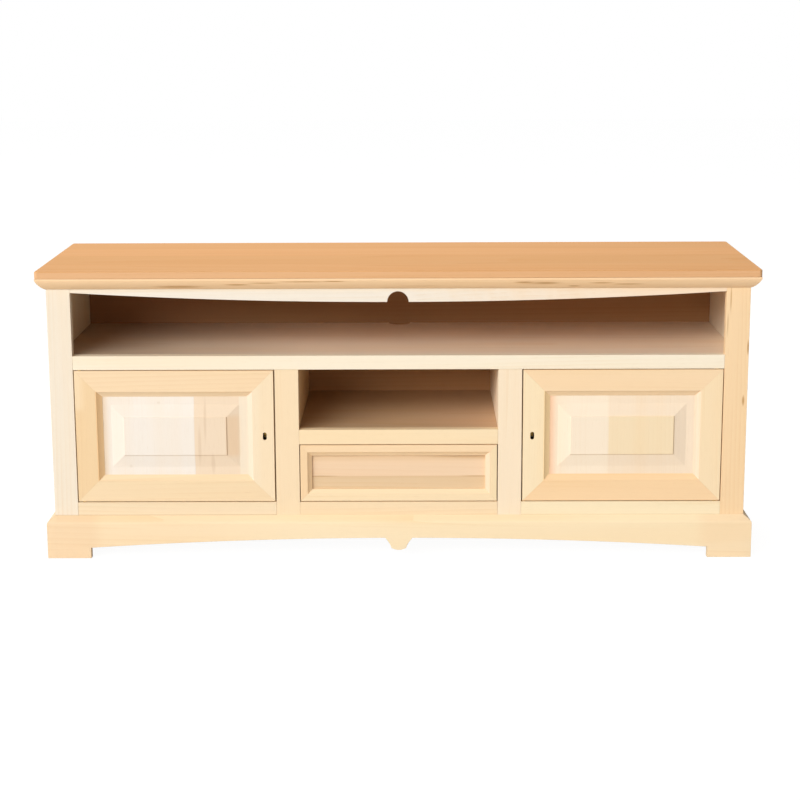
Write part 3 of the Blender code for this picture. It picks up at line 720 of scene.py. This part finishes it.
def woodFinish(name, look, face, grain, seed):
    wood = {**plainWood, **look}
    material, shader, wire = newMaterial(name)
    place = wire.node("TexCoord", out="Object")
    colour, shift, glue = tone(*face), None, None
    if wood["boards"]:  # glued from several boards: axis, joint lines, a screen colour for each next board
        axis, lines, tones = wood["boards"]
        across = place.along(axis)
        for number, (line, nextTone) in enumerate(zip(lines, tones)):
            step = across.between(line - wood["blend"], line + wood["blend"])
            colour = step.mix(colour, tone(*nextTone))
            seam = 1 - wire.sum("ABSOLUTE", across - line, 0).between(*wood["seam"])
            moveOn = step * (wood["boardStep"] + number)
            shift = moveOn if shift is None else shift + moveOn
            glue = seam if glue is None else glue + seam
    turned = place.mapped(turn=grainTurn[grain])
    moved = turned.mapped(move=[seed * step for step in logCut["seedStep"]])
    if shift is not None:  # each board shows another part of the log
        moved = moved.moved(shift, *(shift * share for share in logCut["boardShift"]))
        turned = turned.moved(shift, *(shift * share for share in logCut["ringShift"]))
    tilt = wood["tilt"] * (1 if seed % 2 else -1)
    pith = [at + step * (seed % every)
            for at, step, every in zip(wood["pith"], logCut["pithStep"], logCut["pithEvery"])]
    log = turned.mapped(move=(seed * logCut["alongStep"], *pith), turn=(0, tilt, tilt * logCut["crossTilt"]))
    rings = wire.node("TexWave", {"wave_type": "RINGS", "rings_direction": "X", "wave_profile": "SAW"},
                      {"Vector": log.mapped(scale=ringWave["stretch"]),
                       "Scale": ringWave["width"] / wood["ringWidth"],
                       "Distortion": wood["wobble"], **ringDetail}, out="Fac")
    fibre = wire.noise(moved, *grainNoise["fibre"])
    pores = wire.noise(moved, *grainNoise["pores"]).between(*grainShows["pores"])
    cloud = wire.noise(moved, *grainNoise["cloud"])
    figure = wire.noise(moved, *grainNoise["figure"]).between(*grainShows["figure"])  # where the rings show
    grainLines = rings * rings * figure * wood["rings"] + (fibre - noiseMiddle) * wood["fibre"]
    colour = grainLines.tint(colour, wood["ringTint"])
    colour = (cloud.between(*grainShows["cloud"]) * wood["cloud"]).tint(colour, wood["cloudTint"])
    if wood["streak"]:
        streak = wire.noise(moved, *grainNoise["streak"]).between(*grainShows["streak"])
        colour = (streak * wood["streak"]).tint(colour, wood["streakTint"])
    for point, half, strength in wood["knots"]:  # place, half sizes, strength
        centred = place.mapped(move=[-p / h for p, h in zip(point, half)], scale=[1 / h for h in half])
        away = wire.node("VectorMath", {"operation": "LENGTH"}, {0: centred}, out="Value")
        edge = away + (cloud - noiseMiddle) * knotRagged["cloud"] + (fibre - noiseMiddle) * knotRagged["fibre"]
        colour = ((1 - edge.between(*grainShows["knot"])) * strength).tint(colour, wood["streakTint"])
    colour = (pores * wood["pores"]).tint(colour, wood["poreTint"])
    if glue is not None:
        colour = (glue * wood["glue"]).tint(colour, wood["streakTint"])
    for limits, soft, factors in wood["bands"]:  # a lighter or darker strip: wood tone in some cuts, painted light or shade in others
        strip = None
        for axis, start, end in limits:
            across = place.along(axis)
            part = across.between(start - soft, start + soft) * (1 - across.between(end - soft, end + soft))
            strip = part if strip is None else strip * part
        if wood["bandsTo"] is not None:  # how deep from the front they go
            last, ease = wood["bandsTo"], wood["bandsSoft"]
            strip = strip * (1 - place.along("Y").between(last - ease, last + ease))
        colour = strip.tint(colour, factors)
    wire.feed(shader, "Base Color", colour)
    rough = (fibre - noiseMiddle) * woodRough["fibre"] + rings * woodRough["rings"] + wood["rough"]
    wire.feed(shader, "Roughness", rough)
    height = fibre * woodRelief["fibre"] + rings * woodRelief["rings"] - pores * woodRelief["pores"]
    wire.feed(shader, "Normal", height.bumped(wood["bump"], wood["bumpHeight"]))
    shader.inputs["Specular IOR Level"].default_value = wood["sheen"]
    return material


metals = {"steel": {"colour": (150, 148, 145), "dark": (112, 108, 104), "rough": 0.24},
          "darkSteel": {"colour": (46, 38, 32), "dark": (24, 19, 16), "rough": 0.5},
          "brass": {"colour": (206, 166, 92), "dark": (158, 118, 60), "rough": 0.18}}
brushing = {"noise": ((90.0, 900.0, 1600.0), 2.0), "shows": (0.45, 0.75), "share": 0.35, "rough": 0.16,
            "bump": (0.12, 0.0002)}
stains = {"noise": ((60.0, 60.0, 60.0), 3.0), "shows": (0.45, 0.75), "share": 0.7, "rough": 0.14}
metalStep = (0.21, 0.13, 0.17)  # how far the pattern moves from piece to piece


def metalFinish(name, look, seed):
    material, shader, wire = newMaterial(name)
    place = wire.node("TexCoord", out="Object").mapped(move=[seed * step for step in metalStep])
    brushed = wire.noise(place, *brushing["noise"])
    stain = wire.noise(place, *stains["noise"]).between(*stains["shows"])
    colour = (stain * stains["share"]).mix(tone(*look["colour"]), tone(*look["dark"]))
    colour = (brushed.between(*brushing["shows"]) * brushing["share"]).mix(colour, tone(*look["dark"]))
    wire.feed(shader, "Base Color", colour)
    wire.feed(shader, "Roughness", brushed * brushing["rough"] + stain * stains["rough"] + look["rough"])
    wire.feed(shader, "Normal", brushed.bumped(*brushing["bump"]))
    shader.inputs["Metallic"].default_value = 1.0
    return material


def marks(y, depth, *rows):  # knots on one face: x, z, half width, half height, strength
    return [((x, y, z), (wide, depth, tall), strength) for x, z, wide, tall, strength in rows]


# the cuts of wood; a band is limits along axes, softness of its edges, colour factors; where a band is painted light
# or shade, a comment says so

woods = {
    "plain": {},
    "top": {"sheen": 0.04, "fibre": 0.8, "streak": 0.2, "streakTint": (0.88, 0.80, 0.70),
            # painted light: the edges and underside of the top are painted lighter and greyer than its face
            "bands": (((("Z", 0.60, 0.6335),), 0.0005, (1.11, 1.22, 1.50)),),
            "boards": ("Y", (-0.13, 0.01, 0.13), ((219, 165, 110), (223, 168, 114), (219, 165, 111)))},
    "moulding": {"streak": 0.6, "knots": marks(
        -0.235, 0.05,
        (-0.343, 0.6052, 0.042, 0.0024, 1.0),
        (-0.285, 0.6092, 0.050, 0.0020, 0.9),
        (-0.205, 0.6118, 0.080, 0.0018, 0.9),
        (-0.134, 0.6128, 0.030, 0.0018, 1.0),
        (-0.468, 0.6008, 0.080, 0.0050, 0.8),
        (0.060, 0.6010, 0.080, 0.0014, 0.5),
        (0.300, 0.6080, 0.075, 0.0070, 0.4),
        (0.268, 0.6095, 0.030, 0.0028, 0.9),
        (0.318, 0.6075, 0.040, 0.0028, 0.8),
        (0.376, 0.6000, 0.020, 0.0022, 1.0),
        (0.435, 0.6075, 0.042, 0.0024, 0.9),
        (0.490, 0.6045, 0.055, 0.0022, 0.9))},
    "tanStile": {"streak": 0.25, "knots": marks(
        -0.2195, 0.03,
        (0.7528, 0.464, 0.0034, 0.022, 1.0),
        (0.7458, 0.3470, 0.0040, 0.017, 1.0),
        (0.7128, 0.570, 0.0022, 0.040, 0.75),
        (0.7075, 0.515, 0.0018, 0.035, 0.65))},
    "leftPanel": {
        "bandsTo": -0.2066, "rings": 0.15, "blend": 0.0015, "glue": 0.08,
        # painted shade: the strip beside the hinge stile's slope is darkened as if in that slope's shadow
        "bands": (((("X", -0.70, -0.634),), 0.010, (0.92, 0.82, 0.69)),
                  ((("X", -0.3465, -0.32),), 0.002, (1.01, 1.08, 1.13)),
                  # painted shade: the raised field's right bevel is darkened beyond its lighting, and the next two
                  # bands are painted shadow lines under the field's step at its right and bottom edges
                  ((("X", -0.3735, -0.3465), ("Z", 0.2250, 0.315)), 0.008, (0.99, 0.92, 0.835)),
                  ((("X", -0.3748, -0.3722), ("Z", 0.2275, 0.313)), 0.0006, (0.80, 0.74, 0.68)),
                  ((("X", -0.5985, -0.3735), ("Z", 0.2258, 0.2282)), 0.0006, (0.86, 0.82, 0.78))),
        "knots": marks(
            -0.209, 0.05,
            (-0.4335, 0.250, 0.0045, 0.050, 0.20),
            (-0.4205, 0.305, 0.0035, 0.055, 0.22),
            (-0.4050, 0.208, 0.0045, 0.024, 0.20),
            (-0.5215, 0.344, 0.0060, 0.005, 0.20),
            (-0.5855, 0.202, 0.0060, 0.006, 0.16)),
        "boards": ("X", (-0.4442,), ((243, 220, 192),))},
    "rightPanel": {
        "bandsTo": -0.2066, "rings": 0.2, "blend": 0.004, "glue": 0.0,
        # painted shade: the strip beside the lock stile's slope is darkened as if in that slope's shadow
        "bands": (((("X", 0.28, 0.3385),), 0.010, (1.0, 0.79, 0.68)),
                  ((("X", 0.4566, 0.5985), ("Z", 0.2275, 0.313)), 0.002, (1.0, 0.98, 0.865)),
                  # painted shadow: thin dark lines under the raised field's step at its right and bottom edges
                  ((("X", 0.5972, 0.5998), ("Z", 0.2275, 0.313)), 0.0006, (0.80, 0.76, 0.70)),
                  ((("X", 0.3735, 0.5985), ("Z", 0.2258, 0.2282)), 0.0006, (0.84, 0.80, 0.76))),
        "boards": ("X", (0.4566,), ((248, 227, 200),))},
    "drawerPanel": {
        "blend": 0.004, "glue": 0.12,
        "bands": (((("Z", 0.1740, 0.1790),), 0.0025, (0.96, 0.93, 0.89)),
                  ((("Z", 0.2130, 0.2400),), 0.004, (0.93, 0.92, 0.87))),
        "knots": marks(
            -0.208, 0.05,
            (0.16, 0.2225, 0.17, 0.0085, 0.5),
            (-0.13, 0.2245, 0.12, 0.0035, 0.5),
            (-0.17, 0.1775, 0.05, 0.0020, 0.5),
            (0.17, 0.1775, 0.05, 0.0020, 0.5)),
        "boards": ("Z", (0.1766,), ((243, 212, 178),))},
    "plinth": {
        "bands": (((("X", -1.2, -0.32),), 0.20, (0.985, 0.94, 0.915)),
                  ((("X", -0.80, -0.66),), 0.02, (0.965, 0.925, 0.91)),
                  ((("X", 0.66, 0.80),), 0.02, (0.985, 0.945, 0.925)))},
    # painted shade: a thin dark line where the plinth's top meets the rails and the left stile, standing for the shade
    # in that joint; the next cut is a fainter copy of it
    "plinthLine": {"bands": (((("Z", 0.0920, 0.0944),), 0.0004, (0.80, 0.72, 0.62)),)},
    "faintLine": {"bands": (((("Z", 0.0920, 0.0942),), 0.0004, (0.88, 0.83, 0.76)),)},
    "leftHinge": {
        "bandsTo": -0.2100,
        # painted shade: the first band darkens the stile's slope, which faces away from the light
        "bands": (((("X", -0.657, -0.643),), 0.0015, (1.01, 0.91, 0.80)),
                  ((("X", -0.72, -0.684), ("Z", 0.33, 0.43)), 0.010, (1.05, 1.11, 1.22)))},
    # painted light and shade on frame slopes: leftLock, rightHinge and drawerEnd tone down slopes that face the light,
    # and rightLock darkens a slope that faces away from it
    "leftLock": {"bandsTo": -0.2100, "bands": (((("X", -0.330, -0.317),), 0.0015, (1.0, 0.92, 1.0)),)},
    "rightLock": {"bandsTo": -0.2100, "bands": (((("X", 0.315, 0.329),), 0.0015, (1.04, 0.97, 0.84)),)},
    "rightHinge": {"bandsTo": -0.2100, "bands": (((("X", 0.643, 0.655),), 0.0015, (1.0, 0.93, 1.06)),)},
    "drawerEnd": {"bandsTo": -0.2100, "bands": (((("X", 0.189, 0.1995),), 0.0015, (1.0, 0.92, 1.03)),)},
    # painted shade: the band darkens the top of the frieze just under the moulding
    "frieze": {"blend": 0.30, "glue": 0.0, "bands": (((("Z", 0.5895, 0.62),), 0.004, (1.0, 0.95, 0.87)),),
               "boards": ("X", (0.25,), ((248, 227, 202),))},
    "shelf": {
        "streak": 0.4, "streakTint": (0.84, 0.79, 0.74),
        # painted shadow: the left of the shelf is darkened where the side panel shades it, and its rear is painted
        # greyer where it lies in shade
        "bands": (((("X", -1.0, -0.33),), 0.20, (0.74, 0.73, 0.72)),
                  ((("X", -1.0, -0.54),), 0.10, (0.80, 0.76, 0.74)),
                  ((("Y", 0.06, 0.40),), 0.10, (1.0, 1.07, 1.18)))},
    # painted light and shade: the inner faces of the sides are recoloured apart from their outsides, the left one
    # greyer for the shade on it and the right one lighter for the light on it
    "leftSide": {"bands": (((("X", -0.744, -0.70),), 0.003, (1.05, 1.28, 1.48)),)},
    "rightSide": {"bands": (((("X", 0.70, 0.744),), 0.003, (1.06, 1.20, 1.44)),)},
    "nicheFloor": {
        # painted shadow at the left, where the divider shades the floor, and painted light at the right
        "bands": (((("X", -0.3, -0.05),), 0.10, (0.86, 0.85, 0.84)),
                  ((("X", -0.3, -0.15),), 0.05, (0.80, 0.75, 0.70)),
                  ((("X", 0.08, 0.3),), 0.08, (1.08, 1.07, 1.12)))},
    "veneer": {
        "bandsTo": 0.2045, "rings": 0.8,
        # painted light behind the niche and at the right, painted shade at the left
        "bands": (((("X", -0.23, 0.23), ("Z", 0.28, 0.43)), 0.004, (1.32, 1.32, 1.30)),
                  ((("X", 0.20, 1.0),), 0.20, (1.12, 1.12, 1.13)),
                  ((("X", -1.0, -0.45),), 0.15, (1.0, 0.90, 0.89)))},
}
pieceWood = {  # cut, grain, screen colour
    "topBoard": ("top", "X", (222, 167, 112)),
    "frontMoulding": ("moulding", "X", (255, 217, 172)),
    **{f"{side}Moulding": ("moulding", "Y", (240, 200, 156)) for side, _ in bothSides},
    "friezeBoard": ("frieze", "X", (243, 233, 217)),
    "outer_stile_left": ("plinthLine", "Z", (245, 231, 210)),
    "outer_stile_right": ("tanStile", "Z", (251, 218, 174)),
    "mid_rail": ("plain", "X", (252, 238, 213)),
    "inner_stile_left": ("plain", "Z", (250, 224, 186)),
    "inner_stile_right": ("plain", "Z", (252, 231, 201)),
    "niche_rail": ("plain", "X", (252, 227, 187)),
    "bottom_rail_left": ("plinthLine", "X", (246, 224, 190)),
    "bottom_rail_centre": ("plain", "X", (249, 223, 185)),
    "bottom_rail_right": ("faintLine", "X", (251, 232, 195)),
    "plinthFront": ("plinth", "X", (254, 232, 194)),
    **{f"{side}Plinth": ("plain", "Y", (250, 222, 182)) for side, _ in bothSides},
    "leftDoorHingeStile": ("leftHinge", "Z", (243, 212, 168)),
    "leftDoorLockStile": ("leftLock", "Z", (250, 229, 196)),
    "leftDoorTopRail": ("plain", "X", (249, 220, 181)),
    "leftDoorBottomRail": ("plain", "X", (247, 220, 180)),
    "leftDoorPanel": ("leftPanel", "Z", (247, 237, 225)),
    "rightDoorLockStile": ("rightLock", "Z", (252, 230, 192)),
    "rightDoorHingeStile": ("rightHinge", "Z", (252, 227, 188)),
    "rightDoorTopRail": ("plain", "X", (251, 220, 179)),
    "rightDoorBottomRail": ("plain", "X", (251, 216, 171)),
    "rightDoorPanel": ("rightPanel", "Z", (252, 234, 209)),
    "drawerLeft": ("plain", "Z", (248, 214, 170)),
    "drawerRight": ("drawerEnd", "Z", (249, 224, 182)),
    "drawerTopEdge": ("plain", "X", (251, 220, 179)),
    "drawerBottomEdge": ("plain", "X", (251, 226, 186)),
    "drawer_front_panel": ("drawerPanel", "X", (231, 201, 162)),
    "longShelf": ("shelf", "X", (252, 231, 205)),
    # painted shade: the niche floor's colour is darker than its wood
    "niche_shelf": ("nicheFloor", "X", (211, 178, 141)),
    "bottom_panel": ("plain", "X", (236, 204, 168)),
    # brown veneer, made darker still as painted shade for the inside of the bays
    "back_panel": ("veneer", "X", (178, 136, 96)),
    "divider_left": ("plain", "Z", (224, 192, 148)),
    # painted light: the right divider is painted lighter than its wood for the light on the niche's right wall
    "divider_right": ("plain", "Z", (251, 231, 205)),
    "side_panel_left": ("leftSide", "Z", (244, 216, 178)),
    "side_panel_right": ("rightSide", "Z", (246, 219, 181)),
    "rear_rail": ("plain", "X", (244, 214, 176)),
    "drawer_back": ("plain", "X", (240, 208, 168)),
    "drawer_bottom": ("plain", "X", (238, 208, 170)),
    **{f"drawer_side_{side}": ("plain", "Y", (242, 212, 172)) for side, _ in bothSides},
    **{f"drawer_runner_{side}": ("plain", "Y", (236, 200, 156)) for side, _ in bothSides},
    **{f"foot_{end}_{side}": ("plain", "Z", (246, 214, 172)) for end in ("front", "rear") for side, _ in bothSides},
}
metalWords = {"Bush": "darkSteel", "DoorTopPin": "brass", "DoorBottomPin": "brass", "Bolt": "brass", "Strike": "brass"}
pieceMetal = {name: next((metal for word, metal in metalWords.items() if word in name), "steel")
              for name in shown if name not in pieceWood}


def wearMaterial(piece, material):
    piece.data.materials.clear()
    piece.data.materials.append(material)


for seed, (name, (wood, grain, face)) in enumerate(sorted(pieceWood.items())):
    wearMaterial(shown.get(name) or nodes[name], woodFinish(f"{name}Wood", woods[wood], face, grain, seed + 1))
for seed, (name, metal) in enumerate(sorted(pieceMetal.items())):
    wearMaterial(shown[name], metalFinish(f"{name}Metal", metals[metal], seed + 1))
print("finishes done:", len(pieceWood), "woods,", len(pieceMetal), "metals")


# floor, lamps and camera

studio = {"floorSize": 30, "floorLevel": -0.0004, "floorTone": 0.62, "floorGlow": 0.955, "shadowTone": 0.12,
          "ambient": 0.24, "aim": (0, 0, 0.3)}
lamps = {"keyLamp": {"azimuth": -37, "elevation": 22, "distance": 24, "size": (24, 9.5), "level": 1.02},
         "topLamp": {"azimuth": 197, "elevation": 62, "distance": 3.6, "size": (2.4, 2.4), "level": 0.58}}
photoCamera = {"place": (0.0344, -4.2088, 1.2016), "sensor": 36, "lens": 84.77,
               "pitch": 0.2102, "yaw": -0.0077, "roll": -0.0041}


def seenDirectly(wire):  # the camera, and what it sees in metal
    rays = [wire.node("LightPath", out=f"Is {kind} Ray") for kind in ("Camera", "Glossy", "Transmission")]
    return wire.sum("MAXIMUM", wire.sum("MAXIMUM", rays[0], rays[1]), rays[2])


def makeStudio():
    putDown()
    bpy.ops.mesh.primitive_plane_add(size=studio["floorSize"], location=(0, 0, studio["floorLevel"]))
    floor = nameNew("floor")
    material, shader, wire = newMaterial("floorPaper")
    plain = wire.node("BsdfDiffuse", {}, {"Color": (studio["floorTone"],) * 3 + (1,)})
    shade = wire.node("BsdfDiffuse", {}, {"Color": (studio["shadowTone"],) * 3 + (1,)})
    glow = wire.node("Emission", {}, {"Color": (1, 1, 1, 1), "Strength": studio["floorGlow"]})
    both = wire.node("AddShader", {}, {0: shade, 1: glow})
    surface = wire.node("MixShader", {}, {0: seenDirectly(wire), 1: plain, 2: both})
    wire.tree.links.new(surface.socket, wire.tree.nodes["Material Output"].inputs["Surface"])
    wearMaterial(floor, material)
    world = bpy.data.worlds.new("studio")
    bpy.context.scene.world = world
    world.use_nodes = True
    wire = Wire(world.node_tree)
    level = seenDirectly(wire) * (1 - studio["ambient"]) + studio["ambient"]
    background = world.node_tree.nodes["Background"]
    background.inputs["Color"].default_value = (1, 1, 1, 1)
    world.node_tree.links.new(level.socket, background.inputs["Strength"])
    for name, lamp in lamps.items():
        azimuth, elevation = math.radians(lamp["azimuth"]), math.radians(lamp["elevation"])
        flat = math.cos(elevation)
        way = Vector((math.sin(azimuth) * flat, -math.cos(azimuth) * flat, math.sin(elevation)))
        light = bpy.data.lights.new(name, "AREA")
        light.shape = "RECTANGLE"
        light.size, light.size_y = lamp["size"]
        light.energy = lamp["level"] * math.pi ** 2 * lamp["distance"] ** 2
        holder = bpy.data.objects.new(name, light)
        bpy.context.scene.collection.objects.link(holder)
        holder.location = Vector(studio["aim"]) + way * lamp["distance"]
        holder.rotation_euler = (-way).to_track_quat("-Z", "Y").to_euler()


def makeCamera():
    data = bpy.data.cameras.new("photoCamera")
    data.sensor_width, data.lens = photoCamera["sensor"], photoCamera["lens"]
    camera = bpy.data.objects.new("photoCamera", data)
    bpy.context.scene.collection.objects.link(camera)
    pitch, yaw, roll = photoCamera["pitch"], photoCamera["yaw"], photoCamera["roll"]
    ahead = Vector((math.sin(yaw) * math.cos(pitch), math.cos(yaw) * math.cos(pitch), -math.sin(pitch)))
    level = Vector((math.cos(yaw), -math.sin(yaw), 0))
    rise = level.cross(ahead)
    across = level * math.cos(roll) + rise * math.sin(roll)
    upright = rise * math.cos(roll) - level * math.sin(roll)
    turn = Matrix((across, upright, -ahead)).transposed().to_4x4()
    camera.matrix_world = Matrix.Translation(photoCamera["place"]) @ turn
    bpy.context.scene.camera = camera


makeStudio()
makeCamera()
bpy.context.scene.view_settings.view_transform = "Standard"
print("studio done")
